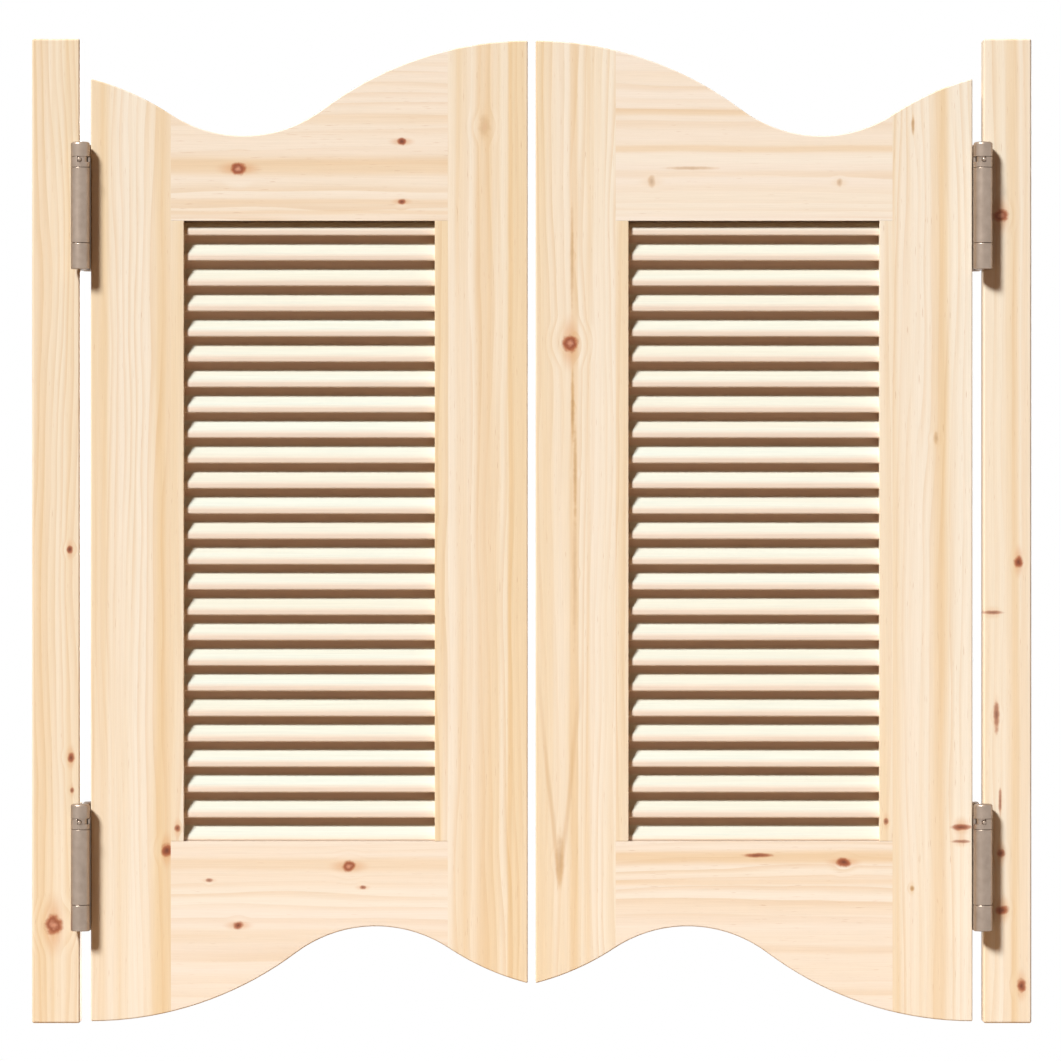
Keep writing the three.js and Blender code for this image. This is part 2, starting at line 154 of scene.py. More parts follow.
# Knots: the rings give way to them and the wood round them darkens, in times their smaller half size
KNOT_RAGGED = 0.4
KNOT_PUSH = 0.8
KNOT_PUSH_NEAR, KNOT_PUSH_FAR = 0.6, 4
KNOT_FLARE_ALONG, KNOT_FLARE_ACROSS = 3.2, 0.5
BIG_KNOT = 5  # smaller half size, in mm, above which a knot has a pale middle
FAINT_KNOT = 0.45  # strength up to which a knot or a thread of resin is yellow-brown, not red

# Knots and threads of resin in the photograph: (x, z, half length along the grain, half width,
# strength), in mm
KNOTS = {
    "left_post": [
        (-462, 474, 4, 3, 0.8), (-461, 266, 5, 3.5, 0.8), (-460, 233, 3, 2, 0.6), (-478, 98, 10, 9, 0.9),
    ],
    "left_hanging_stile": [(-365, 173, 6.5, 5, 0.9)],
    "left_top_rail": [(-293.5, 855, 7.5, 6, 1), (-130, 882, 4.5, 3.5, 0.9), (-130, 822, 4, 2.8, 0.8)],
    "left_bottom_rail": [
        (-183, 157, 6.5, 5.5, 0.9), (-169, 136, 3, 2.2, 0.6), (-293.5, 98, 5, 4, 0.8),
        (-322.5, 143, 3.5, 2, 0.5),
    ],
    "left_hanging_strip": [(-354.5, 195, 4, 3, 0.7)],
    "left_meeting_stile": [(-47, 897, 12, 6, 0.18)],
    "right_meeting_stile": [
        (38.5, 680.5, 8.5, 8, 1), (41, 617, 38, 2.0, 0.3), (43.5, 550, 48, 2.0, 0.24),
        (43, 450, 70, 2.4, 0.12), (40.4, 768, 55, 1.8, 0.2), (28, 164, 27, 4.5, 0.2),
    ],
    "right_top_rail": [(308, 841, 2.8, 4.5, 0.25), (120, 842, 4, 6, 0.25), (160, 855.5, 28, 1.8, 0.22)],
    "right_bottom_rail": [(312, 161, 7, 4.5, 0.9), (226, 168, 15, 2.2, 0.7)],
    "right_hanging_stile": [
        (429.5, 196, 3.2, 10, 0.75), (429.5, 182, 1.8, 10, 0.5), (380.5, 135, 3, 2.2, 0.45),
        (381.5, 899, 10, 1.5, 0.35), (404.6, 585, 7, 2.6, 0.25),
    ],
    "right_hanging_strip": [(354.5, 202, 3.5, 2.5, 0.6)],
    "right_post": [
        (469.4, 808, 6, 7.5, 0.9), (487, 462, 6, 4.5, 0.9), (461, 411, 2, 11, 0.5), (465, 308, 16, 3, 0.55),
        (468.6, 222, 14, 1.6, 0.5), (469.4, 170, 4.5, 4, 0.75), (470.5, 113.4, 4.5, 7, 0.85),
        (490, 37.5, 6.5, 4.5, 0.8),
    ],
}

# Broad streaks of the grain: (x of an upright or z of a rail, half width, strength), in mm;
# warm where the strength is positive and creamy where it is negative
STREAKS = {
    "left_post": [(-472, 8, -0.5), (-492, 11, 0.4)],
    "left_hanging_stile": [(-396, 16, -0.5), (-366, 14, 0.45), (-432, 10, 0.3)],
    "left_meeting_stile": [(-47.8, 14, 0.55), (-27.5, 6, -0.6), (-21.5, 3.5, 0.6), (-70, 9, 0.25)],
    "left_top_rail": [(857.6, 13, 0.6), (834.5, 12, -0.5), (822, 4, 0.35), (811, 3, 0.4), (905, 9, 0.3)],
    "left_bottom_rail": [(158.5, 10, 0.45), (125, 18, -0.6), (90, 6, 0.25)],
    "right_meeting_stile": [(42.4, 6, 0.6), (49.5, 4, -0.4), (74.5, 14, -0.5), (57, 3, 0.25)],
    "right_top_rail": [(864.6, 8, -0.6), (819, 20, -0.5), (875, 5, 0.5), (912, 6, 0.4), (850, 5, 0.25)],
    "right_bottom_rail": [(166, 9, 0.75), (152.5, 6, -0.5), (129, 9, -0.6), (141, 4, 0.35), (113, 10, 0.2)],
    "right_hanging_stile": [(430, 19, -0.95), (407, 12, 0.5), (391.5, 16, -0.45)],
    "right_post": [(466.7, 17, -0.8), (483.5, 6, 0.35), (494, 5, 0.3), (477, 4, 0.2)],
}

# Tall arches of a board sawn near its heart: (x, z of the tip, slope of the two lines, length,
# strength), in mm
ARCHES = {"right_meeting_stile": [(28, 138, 0.105, 240, 0.34)]}

# Slat pine: bands and fibres as length and width, then where the painted shade in the gaps lies, how far
# the painted light on the noses reaches, and how high the painted shadow at the foot rises
SLAT_BANDS = (600 * MM, 9 * MM)
SLAT_FIBRES = (60 * MM, 1.0 * MM)
SLAT_GAP_SHADE_DEPTH = 5 * MM
SLAT_GAP_SHADE_REACH = (3 * MM, 7 * MM)
SLAT_NOSE_PAINTED_LIGHT = (3.0 * MM, 1.6 * MM)
SLAT_FOOT_SHADE = 2.4 * MM

# Steel; real drawing lines are finer than 0.5 mm, but would not show
DRAWN_LINES = (0.5 * MM, 0.5 * MM, 30 * MM)
STEEL_CLOUDS = 9 * MM
OIL_FILM = 4 * MM

# Stage: the floor fades out between two shares of its radius, and its glow keeps the shadow pale
FLOOR_DROP = 0.45
FLOOR_RADIUS = 2.2
FLOOR_STEPS = 96
FLOOR_FADE = (0.55, 0.98)
FLOOR_GLOW = 0.4
DAYLIGHT = 0.1
LENS = 200
SENSOR = 36
FARTHEST = 100

# Lamps: energy, spread in degrees, colour and the way the light goes. The fill comes nearly level from
# behind, so that little of it passes between the slats to the front
LAMPS = {
    "key": (4.8, 11, "#FCFFFF", (0.8, 1.0, -1.2)),
    "fill": (2.0, 14, "#FFFDF9", (-0.25, -1.0, -0.08)),
}


def joint(name):
    """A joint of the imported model."""
    return next(j for j in frame["joints"] if j["name"] == name)


# Meshes

def round_over(bm, edges, width, segments=2):
    bmesh.ops.bevel(
        bm, geom=edges, offset=width, affect="EDGES", segments=segments, profile=0.5, material=-1,
        clamp_overlap=True,
    )


def ease(bm, width, segments=2, corner=EASED_CORNER, kept=frozenset()):
    """Rounds every outer edge that is sharper than the corner angle, but none between kept points."""
    sharp = [
        e for e in bm.edges
        if e.is_manifold and e.is_convex and e.calc_face_angle() > corner and not kept.issuperset(e.verts)
    ]
    round_over(bm, sharp, width, segments)


def brick(low, high):
    """A box between two corners."""
    bm = bmesh.new()
    low, high = Vector(map(min, low, high)), Vector(map(max, low, high))
    bmesh.ops.create_cube(bm, size=1)
    bmesh.ops.scale(bm, vec=high - low, verts=bm.verts)
    bmesh.ops.translate(bm, vec=(low + high) / 2, verts=bm.verts)
    return bm


def turned(profile, axis, steps):
    """A solid turned about the upright axis (x, y) from a profile of (radius, height) pairs."""
    bm = bmesh.new()
    points = [bm.verts.new((axis[0] + radius, axis[1], height)) for radius, height in profile]
    lines = [bm.edges.new(pair) for pair in zip(points, points[1:])]
    bmesh.ops.spin(
        bm, geom=points + lines, cent=(axis[0], axis[1], 0), axis=(0, 0, 1), angle=math.tau, steps=steps,
        use_merge=True,
    )
    bmesh.ops.remove_doubles(bm, verts=bm.verts, dist=SAME_POINT)
    bmesh.ops.recalc_face_normals(bm, faces=bm.faces)
    return bm


def gather(*shapes):
    """Several shapes in one mesh."""
    whole = bmesh.new()
    for shape in shapes:
        part = bpy.data.meshes.new("part")
        shape.to_mesh(part)
        shape.free()
        whole.from_mesh(part)
        bpy.data.meshes.remove(part)
    return whole


def loose(name, bm):
    """An object at the origin with a shape of its own."""
    mesh = bpy.data.meshes.new(name)
    bm.to_mesh(mesh)
    bm.free()
    made = bpy.data.objects.new(name, mesh)
    bpy.context.scene.collection.objects.link(made)
    return made


def piece(name, bm, material):
    """A finished object, smooth on its curves and flat on its faces."""
    bm.normal_update()
    for face in bm.faces:
        face.smooth = True
    for edge in bm.edges:
        edge.smooth = edge.calc_face_angle(math.pi) < SHARP_CORNER
    made = loose(name, bm)
    made.data.materials.append(material)
    flats = made.modifiers.new("flats", "WEIGHTED_NORMAL")
    flats.keep_sharp = True
    return made


def drilled(shape, cutters):
    """A shape with cutting shapes taken out of it."""
    made = loose("drilled", shape)
    tools = [loose("cutter", cutter) for cutter in cutters]
    for tool in tools:
        cut = made.modifiers.new("cut", "BOOLEAN")
        cut.object = tool
        cut.solver = "EXACT"
    result = bpy.data.meshes.new_from_object(made.evaluated_get(bpy.context.evaluated_depsgraph_get()))
    bm = bmesh.new()
    bm.from_mesh(result)
    for used in (made, *tools):
        bpy.data.meshes.remove(used.data)
    bpy.data.meshes.remove(result)
    return bm


def fit(made, body, slot, *nodes):
    """Sets a piece on its body in place of its CAD nodes."""
    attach(made, body)
    if nodes:
        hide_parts(*nodes)


# Materials

def colour(code):
    """An sRGB hex value as linear red, green, blue and alpha."""
    values = [int(code[i:i + 2], 16) / 255 for i in (1, 3, 5)]
    linear = [v / 12.92 if v <= 0.04045 else ((v + 0.055) / 1.055) ** 2.4 for v in values]
    return (*linear, 1.0)


def add(tree, kind, inputs=(), output=0, **settings):
    """Adds a shader node, gives its inputs, in their order or by name, a link or a value, and returns
    one output."""
    node = tree.nodes.new("ShaderNode" + kind)
    for name, value in settings.items():
        setattr(node, name, value)
    for name, value in inputs.items() if isinstance(inputs, dict) else enumerate(inputs):
        if isinstance(value, bpy.types.NodeSocket):
            tree.links.new(value, node.inputs[name])
        else:
            node.inputs[name].default_value = value
    if node.outputs:
        return node.outputs[output]


def blank(name):
    """A new material with its shader, the shader's inputs, and the call that adds nodes to it."""
    material = bpy.data.materials.new(name)
    material.use_nodes = True
    tree = material.node_tree
    tree.nodes.clear()
    put = functools.partial(add, tree)
    surface = put("BsdfPrincipled")
    put("OutputMaterial", {"Surface": surface})
    return material, tree, surface.node.inputs, put


def layered(put, ground, layers):
    """A ground colour under layers of colour, each given as (how much, which colour)."""
    mixed = colour(ground)
    for much, hue in layers:
        mixed = put("Mix", {0: much, 6: mixed, 7: colour(hue)}, output=2, data_type="RGBA")
    return mixed


def speckle(put, place, size, detail):
    """Noise in patches of a size along each axis, broken up more finely with more detail."""
    scaled = put("VectorMath", (place, [1 / extent for extent in size]), operation="MULTIPLY")
    return put("TexNoise", {"Vector": scaled, "Scale": 1.0, "Detail": detail})


def oval(put, away, half_length, half_width):
    """How far out from the middle of an oval along the grain a point lies: one is the oval's rim."""
    scaled = put("VectorMath", (away, (1 / half_length, 0, 1 / half_width)), operation="MULTIPLY")
    return put("VectorMath", (scaled,), operation="LENGTH", output=1)


def distance(put, value, middle):
    """How far a value lies from a middle one, to either side."""
    off = put("Math", (value, middle), operation="SUBTRACT")
    return put("Math", (off,), operation="ABSOLUTE")


def knotty_pine(name, upright, figure, pith, knots=(), streaks=(), arches=()):
    """Planed pine under thin clear lacquer: creamy sapwood with soft warmer bands, faint growth
    rings along the board, fine fibres and flecks of resin, and red-brown knots that the rings
    flow round.

    figure shifts the pattern so that no two boards match. pith is where the log's heart lies:
    across the board's face and behind the leaf's middle plane. Knots, streaks and arches are as in
    KNOTS, STREAKS and ARCHES. All lengths here are millimetres.
    """
    material, tree, shader, put = blank(name)
    # X runs along the grain, Y through the board and Z across its face
    grain = put("Mapping", {
        "Vector": put("TexCoord", output="Object"), "Scale": (1 / MM, 1 / MM, 1 / MM),
        "Rotation": (0, math.radians(90) if upright else 0, 0),
    })
    along, through, across = put("SeparateXYZ", (grain,)).node.outputs
    shifted = put("VectorMath", (grain, figure), operation="ADD")
    noise = {
        use: speckle(put, shifted, (length, width, width), detail)
        for use, (length, width, detail) in PINE_FIGURE.items()
    }

    # Bends of the grain, then how far each point lies from the knots, which push the rings aside
    bend = put("MapRange", (noise["bends"], 0, 1, -GRAIN_BEND, GRAIN_BEND))
    ripple = put("MapRange", (noise["ripples"], 0, 1, -GRAIN_RIPPLE, GRAIN_RIPPLE))
    ragged = put("MapRange", (noise["knot_edges"], 0, 1, -KNOT_RAGGED, KNOT_RAGGED))
    ring_place = put("Math", (across, bend), operation="ADD")
    ring_place = put("Math", (ring_place, ripple), operation="ADD")
    marks = []
    for x, z, half_length, half_width, strength in knots:
        small = min(half_length, half_width)
        away = put("VectorMath", (grain, (z, 0, -x) if upright else (x, 0, z)), operation="SUBTRACT")
        push = put("MapRange", (
            oval(put, away, 1, 1), KNOT_PUSH_NEAR * small, KNOT_PUSH_FAR * small, -KNOT_PUSH, 0,
        ), interpolation_type="SMOOTHSTEP")
        sideways = put("SeparateXYZ", (away,), output=2)
        ring_place = put("Math", (sideways, push, ring_place), operation="MULTIPLY_ADD")
        core = put("Math", (oval(put, away, half_length, half_width), ragged), operation="ADD")
        flare = oval(
            put, away, half_length + KNOT_FLARE_ALONG * small, half_width + KNOT_FLARE_ACROSS * small,
        )
        marks.append((core, flare, small, strength))

    # Growth rings: thin darker lines of late wood, stronger in some places than in others
    sideways = put("Math", (ring_place, pith[0]), operation="SUBTRACT")
    deep = put("Math", (through, pith[1]), operation="SUBTRACT")
    heart = put("CombineXYZ", (sideways, deep))
    heart = put("VectorMath", (heart,), operation="LENGTH", output=1)
    ring = put("Math", (heart, RING_SPACING), operation="DIVIDE")
    ring = put("Math", (ring,), operation="FRACT")
    late = put("MapRange", (ring, *LATE_WOOD), interpolation_type="SMOOTHSTEP")
    stop = put("MapRange", (ring, RING_EDGE, 1, 1, 0), interpolation_type="SMOOTHSTEP")
    late = put("Math", (late, stop), operation="MULTIPLY")
    clear = put("MapRange", (
        noise["clearness"], 0.36, 0.68, *RING_CLEARNESS,
    ), interpolation_type="SMOOTHSTEP")

    # Colour, from the widest pattern to the finest
    bands = put("MapRange", (
        noise["bands"], 0.33, 0.68, 0, UPRIGHT_BANDS if upright else RAIL_BANDS,
    ), interpolation_type="SMOOTHSTEP")
    layers = [(bands, "#EED3A8")]
    waved = put("Math", (across, ripple), operation="ADD")
    for place, half_width, strength in streaks:
        much = put("MapRange", (
            distance(put, waved, -place if upright else place), STREAK_CORE * half_width, half_width,
            STREAK_SHARE * abs(strength), 0,
        ), interpolation_type="SMOOTHSTEP")
        layers.append((much, "#E6C087" if strength > 0 else "#F9F0E0"))
    for x, z, slope, length, strength in arches:
        rise = put("Math", (along, z), operation="SUBTRACT")
        apart = put("Math", (rise, slope), operation="MULTIPLY")
        off = distance(put, distance(put, waved, -x), apart)
        line = put("MapRange", (off, *ARCH_LINE, strength, 0), interpolation_type="SMOOTHSTEP")
        begun = put("MapRange", (rise, *ARCH_START))
        ended = put("MapRange", (rise, ARCH_FADE * length, length, 1, 0))
        line = put("Math", (line, begun), operation="MULTIPLY")
        layers.append((put("Math", (line, ended), operation="MULTIPLY"), "#C8954C"))
    layers.append((put("Math", (late, clear), operation="MULTIPLY"), "#DBAF70"))
    layers.append((put("MapRange", (noise["flecks"], 0.70, 0.80, 0, FLECK_SHARE)), "#C48F5C"))
    for core, flare, small, strength in marks:
        red = strength > FAINT_KNOT
        steps = [
            (flare, 0.20, 1.00, 0.60, "#DCA26C" if red else "#E2B673"),
            (core, 0.75, 1.25, 0.90, "#B4683F" if red else "#C9964F"),
            (core, 0.50, 0.95, 0.85, "#8A3E22" if red else "#AE7A38"),
            (core, 0.05, 0.60, 0.85, "#DD9F80" if small > BIG_KNOT else "#5E2A18" if red else "#8F5F28"),
        ]
        for reach, full, none, share, hue in steps:
            much = put("MapRange", (reach, full, none, share * strength, 0), interpolation_type="SMOOTHSTEP")
            layers.append((much, hue))
    wood = layered(put, "#F7EAD7" if upright else "#F8EBDC", layers)
    shade = put("CombineXYZ", [
        put("MapRange", (noise["fibres"], 0.25, 0.75, low, 1.02)) for low in (0.96, 0.95, 0.93)
    ])
    wood = put("Mix", {0: 1.0, 6: wood, 7: shade}, output=2, data_type="RGBA", blend_type="MULTIPLY")
    tree.links.new(wood, shader["Base Color"])
    gloss = put("MapRange", (noise["fibres"], 0.2, 0.8, 0.60, 0.48))
    tree.links.new(gloss, shader["Roughness"])
    shader["IOR"].default_value = 1.5
    height = put("Math", (late, -0.5, noise["fibres"]), operation="MULTIPLY_ADD")
    relief = put("Bump", {"Strength": 0.22, "Distance": 0.25 * MM, "Height": height})
    tree.links.new(relief, shader["Normal"])
    return material


def slat_pine(front, back, foot):
    """Thin sanded pine slats with straight fine grain, each with its own tone, pale at the front. Painted
    shade darkens them further in and underneath, where the gaps between them lie in shadow; painted light
    makes the noses along front and back paler and warmer; and a painted shadow darkens the corner where the
    lowest slat meets the rail at the foot."""
    material, tree, shader, put = blank("sanded_pine_slats")
    place = put("TexCoord", output="Object")
    _, depth, height = put("SeparateXYZ", (place,)).node.outputs
    facing = put("SeparateXYZ", (put("TexCoord", output="Normal"),), output=2)
    own = put("Attribute", output="Fac", attribute_name="slat_tone")
    grain = put("VectorMath", (place, put("CombineXYZ", (own, own, own))), operation="ADD")
    bands, fibres = (
        speckle(put, grain, (length, width, width), 2.0) for length, width in (SLAT_BANDS, SLAT_FIBRES)
    )
    half = (back - front) / 2
    # Painted shade: darker round the depth where the gaps between the slats lie in shadow
    inner = distance(put, depth, SLAT_GAP_SHADE_DEPTH)
    outward = distance(put, depth, front + half)
    # Painted light: the noses, which the key light leaves in shade, are made paler and warmer
    nose = put("Math", (
        put("MapRange", (outward, *(half - inset for inset in SLAT_NOSE_PAINTED_LIGHT))),
        put("MapRange", (facing, -0.05, 0.6, 1, 0)),
    ), operation="MULTIPLY")
    wood = layered(put, "#D7DACF", [
        (put("MapRange", (bands, 0.35, 0.7, 0, 0.7)), "#D8D4C5"),
        (put("MapRange", (own, 0, 1, 0, 0.3)), "#D8CBB2"),
        # Painted shade further in, where the gaps lie in shadow
        (put("MapRange", (inner, *SLAT_GAP_SHADE_REACH, 1, 0), interpolation_type="SMOOTHSTEP"), "#D3BBAA"),
        # Painted shade: surfaces that face down are darker
        (put("MapRange", (facing, -0.25, -0.55, 0, 0.8)), "#DDC3A8"),
        # Painted light on the noses
        (nose, "#F6E4D2"),
        # Painted shadow: a dark line where the lowest slat meets the rail
        (put("MapRange", (height, foot, foot + SLAT_FOOT_SHADE, 0.75, 0)), "#86664C"),
    ])
    fibre = put("MapRange", (fibres, 0.2, 0.8, 0.91, 1.03))
    shade = put("CombineXYZ", (fibre, fibre, fibre))
    wood = put("Mix", {0: 1.0, 6: wood, 7: shade}, output=2, data_type="RGBA", blend_type="MULTIPLY")
    tree.links.new(wood, shader["Base Color"])
    shader["Roughness"].default_value = 0.8
    shader["IOR"].default_value = 1.5
    shader["Specular IOR Level"].default_value = 0.2
    relief = put("Bump", {"Strength": 0.2, "Distance": 0.2 * MM, "Height": fibres})
    tree.links.new(relief, shader["Normal"])
    return material


def satin_steel():
    """Zinc-plated steel, drawn and satin finished: grey with faint upright drawing lines and a
    cloudy, slightly duller patina."""
    material, tree, shader, put = blank("satin_zinc_steel")
    place = put("TexCoord", output="Object")
    drawn = speckle(put, place, DRAWN_LINES, 2.0)
    cloud = put("TexNoise", {"Vector": place, "Scale": 1 / STEEL_CLOUDS, "Detail": 3.0})
    tree.links.new(layered(put, "#B5A293", [(cloud, "#968577")]), shader["Base Color"])
    tree.links.new(put("MapRange", (drawn, 0.2, 0.8, 0.30, 0.44)), shader["Roughness"])
    shader["Metallic"].default_value = 1.0
    relief = put("Bump", {"Strength": 0.12, "Distance": 0.05 * MM, "Height": drawn})
    tree.links.new(relief, shader["Normal"])
    return material


def oiled_spring_steel():
    """Hard-drawn spring wire, dark with oil."""
    material, tree, shader, put = blank("oiled_spring_steel")
    place = put("TexCoord", output="Object")
    film = put("TexNoise", {"Vector": place, "Scale": 1 / OIL_FILM, "Detail": 2.0})
    tree.links.new(layered(put, "#5E5C5A", [(film, "#474543")]), shader["Base Color"])
    shader["Metallic"].default_value = 1.0
    shader["Roughness"].default_value = 0.35
    return material


STEEL = satin_steel()


# Leaves and posts

def seams(side):
    """Where the rails and strips of a leaf meet its stiles: one upright plane each side, by x."""
    stiles = [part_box(f"{side}_{part}_stile") for part in ("hanging", "meeting")]
    return sorted(corner.x for stile in stiles for corner in stile)[1:3]


def close_seams(bm, side, rail):
    """Closes a rail up to the stiles, and gives the points of a board that lie on a seam. The planed
    faces run on across it, so its edges stay sharp."""
    kept = set()
    for seam in seams(side):
        there = [v for v in bm.verts if abs(v.co.x - seam) < SEAM_REACH]
        for vert in there if rail else ():
            lines = [e.other_vert(vert).co - vert.co for e in vert.link_edges]
            along = max(lines, key=lambda line: abs(line.x))
            vert.co += along * ((seam - vert.co.x) / along.x)
        kept.update(there)
    return kept


def any_shift(dice):
    """A place in the figure of pine that no other board has."""
    return [dice.uniform(-FIGURE_SHIFT, FIGURE_SHIFT) for _ in range(3)]


def boards():
    """Every board of the posts and leaves: its CAD solid with eased edges, closed seams and a
    figure of its own."""
    dice = random.Random(FIGURE_SEED)
    for side in SIDES:
        for part in ("post", "hanging_stile", "meeting_stile", "top_rail", "bottom_rail"):
            node = f"{side}_{part}"
            low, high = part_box(node)
            post, rail = part == "post", part.endswith("rail")
            bm = bmesh.new()
            bm.from_mesh(frame["nodes"][node].data)
            bmesh.ops.remove_doubles(bm, verts=bm.verts, dist=SAME_POINT)
            bmesh.ops.dissolve_limit(bm, angle_limit=SAME_PLANE, verts=bm.verts, edges=bm.edges)
            kept = set() if post else close_seams(bm, side, rail)
            ease(bm, POST_EASE if post else BOARD_EASE, segments=3, kept=kept)
            if rail:
                across = (low.z + high.z) / 2
                aside = dice.uniform(-RAIL_PITH_ASIDE, RAIL_PITH_ASIDE)
            else:
                across = -(low.x + high.x) / 2
                aside = dice.choice((-1, 1)) * dice.uniform(*STILE_PITH_ASIDE)
            pine = knotty_pine(
                f"planed_pine_{node}", not rail, any_shift(dice),
                (across / MM + aside, dice.uniform(*PITH_BEHIND)), KNOTS.get(node, ()),
                STREAKS.get(node, ()), ARCHES.get(node, ()),
            )
            made = piece(f"{node}_board", bm, pine)
            fit(made, "frame" if post else f"{side}_leaf", "pine", node)


def strips(side, dice):
    """The two slim uprights that hold a leaf's slats; gives the x of their faces towards the slats."""
    low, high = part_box(f"{side}_slotted_strip")
    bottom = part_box(f"{side}_bottom_rail")[1].z
    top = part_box(f"{side}_top_rail")[0].z
    faces = []
    for seam, inward in zip(seams(side), (1, -1)):
        part = "hanging" if (seam < 0) == (inward > 0) else "meeting"
        name = f"{side}_{part}_strip"
        face = seam + inward * STRIP_WIDTH
        bm = brick((seam, low.y, bottom), (face, high.y, top))
        ease(bm, STRIP_EASE, kept={v for v in bm.verts if v.co.x == seam})
        pine = knotty_pine(
            f"planed_pine_{name}", True, any_shift(dice),
            (-seam / MM + dice.uniform(*STRIP_PITH_ASIDE), STRIP_PITH_BEHIND), KNOTS.get(name, ()),
        )
        made = piece(f"{name}_board", bm, pine)
        fit(made, f"{side}_leaf", "pine", *([f"{side}_slotted_strip"] if part == "meeting" else []))
        faces.append(face)
    return faces


def slat(low, high, height):
    """One sloping slat, planed upright along its front and back, with rounded edges, cut off where
    it meets a rail."""
    front, back = low.y + SLAT_SETBACK, high.y - SLAT_INSET
    width = (back - front - SLAT_THICKNESS * math.sin(SLAT_TILT)) / math.cos(SLAT_TILT) + 2 * SLAT_NOSE
    bm = brick((low.x, -width / 2, -SLAT_THICKNESS / 2), (high.x, width / 2, SLAT_THICKNESS / 2))
    long_edges = [e for e in bm.edges if e.calc_length() > width * 2]
    noses = [e for e in long_edges if e.verts[0].co.y * e.verts[0].co.z < 0]
    round_over(bm, noses, SLAT_NOSE, segments=1)
    long_edges = [e for e in bm.edges if e.calc_length() > width * 2]
    shoulders = [e for e in long_edges if abs(e.verts[0].co.y) < width / 2 - SLAT_EASE]
    round_over(bm, shoulders, SLAT_NOSE_EASE, segments=4)
    rims = [e for e in long_edges if e.is_valid and abs(e.verts[0].co.y) > width / 2 - SLAT_EASE]
    round_over(bm, rims, SLAT_EASE, segments=3)
    place = Matrix.Translation((0, (front + back) / 2, height)) @ Matrix.Rotation(SLAT_TILT, 4, "X")
    bmesh.ops.transform(bm, matrix=place, verts=bm.verts)
    for level, outward in ((low.z, -1), (high.z, 1)):
        cut = bmesh.ops.bisect_plane(
            bm, geom=[*bm.verts, *bm.edges, *bm.faces], plane_co=(0, 0, level),
            plane_no=(0, 0, outward), clear_outer=True,
        )
        rim = [e for e in cut["geom_cut"] if isinstance(e, bmesh.types.BMEdge)]
        if rim:
            bmesh.ops.edgeloop_fill(bm, edges=rim)
    return bm


def louvres():
    """The strips and slats of both leaves."""
    dice = random.Random(FIGURE_SEED)
    low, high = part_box("left_slotted_strip")
    pine = slat_pine(low.y + SLAT_SETBACK, high.y - SLAT_INSET, low.z)
    for side in SIDES:
        low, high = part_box(f"{side}_slotted_strip")
        faces = strips(side, dice)
        low.x, high.x = faces[0] - SLAT_SEAT, faces[1] + SLAT_SEAT
        slats = []
        height = low.z + LOWEST_SLAT
        half_rise = (high.y - low.y) / 2  # a slat is about as high as it is deep
        while height - half_rise < high.z:
            bm = slat(low, high, height)
            tone = bm.verts.layers.float.new("slat_tone")
            value = dice.random()
            for vert in bm.verts:
                vert[tone] = value
            slats.append(bm)
            height += SLAT_PITCH
        made = piece(f"{side}_slats", gather(*slats), pine)
        fit(made, f"{side}_leaf", "slats", f"{side}_slatted_strip")


# Hinges

def knuckle_ring(axis, inner, outer, low, high, slot_from, slot_to):
    """The upper knuckle: a tube whose rim is cut away between two angles for the stop pin."""
    floor = high - SLOT_DEPTH
    middle, half = (slot_from + slot_to) / 2, abs(slot_to - slot_from) / 2
    bm = turned(
        [(inner, low), (outer, low), (outer, floor), (outer, high), (inner, high), (inner, floor),
         (inner, low)], axis, BARREL_STEPS,
    )
    removed = []
    for face in bm.faces:
        x, y, z = face.calc_center_median()
        angle = math.atan2(y - axis[1], x - axis[0])
        if z > floor and abs((angle - middle + math.pi) % math.tau - math.pi) < half:
            removed.append(face)
    bmesh.ops.delete(bm, geom=removed, context="FACES")
    open_edges = [e for e in bm.edges if e.is_boundary]
    level = [e for e in open_edges if all(abs(v.co.z - floor) < SAME_POINT for v in e.verts)]
    bmesh.ops.bridge_loops(bm, edges=level)
    bmesh.ops.holes_fill(bm, edges=[e for e in bm.edges if e.is_boundary], sides=4)
    bmesh.ops.recalc_face_normals(bm, faces=bm.faces)
    rims = [
        e for e in bm.edges
        if e.calc_face_angle() > SHARP_CORNER and all(abs(v.co.z - floor) > SAME_POINT for v in e.verts)
    ]
    round_over(bm, rims, STEEL_EASE)
    return bm


def plate_screws(plate_low, plate_high, outward):
    """Countersunk screws with a straight slot, staggered on the outer face of a hinge plate."""
    pitch = (plate_high.z - plate_low.z - 2 * SCREW_EDGE) / (SCREW_ROWS - 1)
    inset = math.copysign(SCREW_EDGE, plate_high.y - plate_low.y)
    heads, grooves = [], []
    for row in range(SCREW_ROWS):
        y = plate_high.y - inset if row % 2 else plate_low.y + inset
        spot = Vector((plate_high.x, y, plate_low.z + SCREW_EDGE + row * pitch))
        head = turned(
            [(0, -PLATE_THICKNESS), (SCREW_HEAD / 2, -PLATE_THICKNESS), (SCREW_HEAD, 0),
             (SCREW_CROWN, SCREW_CROWN_HEIGHT), (0, SCREW_HEIGHT)], (0, 0), PIN_STEPS,
        )
        place = Matrix.Translation(spot) @ Matrix.Rotation(outward * math.pi / 2, 4, "Y")
        bmesh.ops.transform(head, matrix=place, verts=head.verts)
        heads.append(head)
        reach = Vector((SCREW_SLOT_REACH, SCREW_SLOT / 2, SCREW_HEIGHT * 3))
        groove = brick((-reach.x, -reach.y, SCREW_SLOT_FLOOR), reach)
        turn = Matrix.Rotation(SCREW_TURN + SCREW_TURN_STEP * row, 4, "Z")
        bmesh.ops.transform(groove, matrix=place @ turn, verts=groove.verts)
        grooves.append(groove)
    return drilled(gather(*heads), grooves)


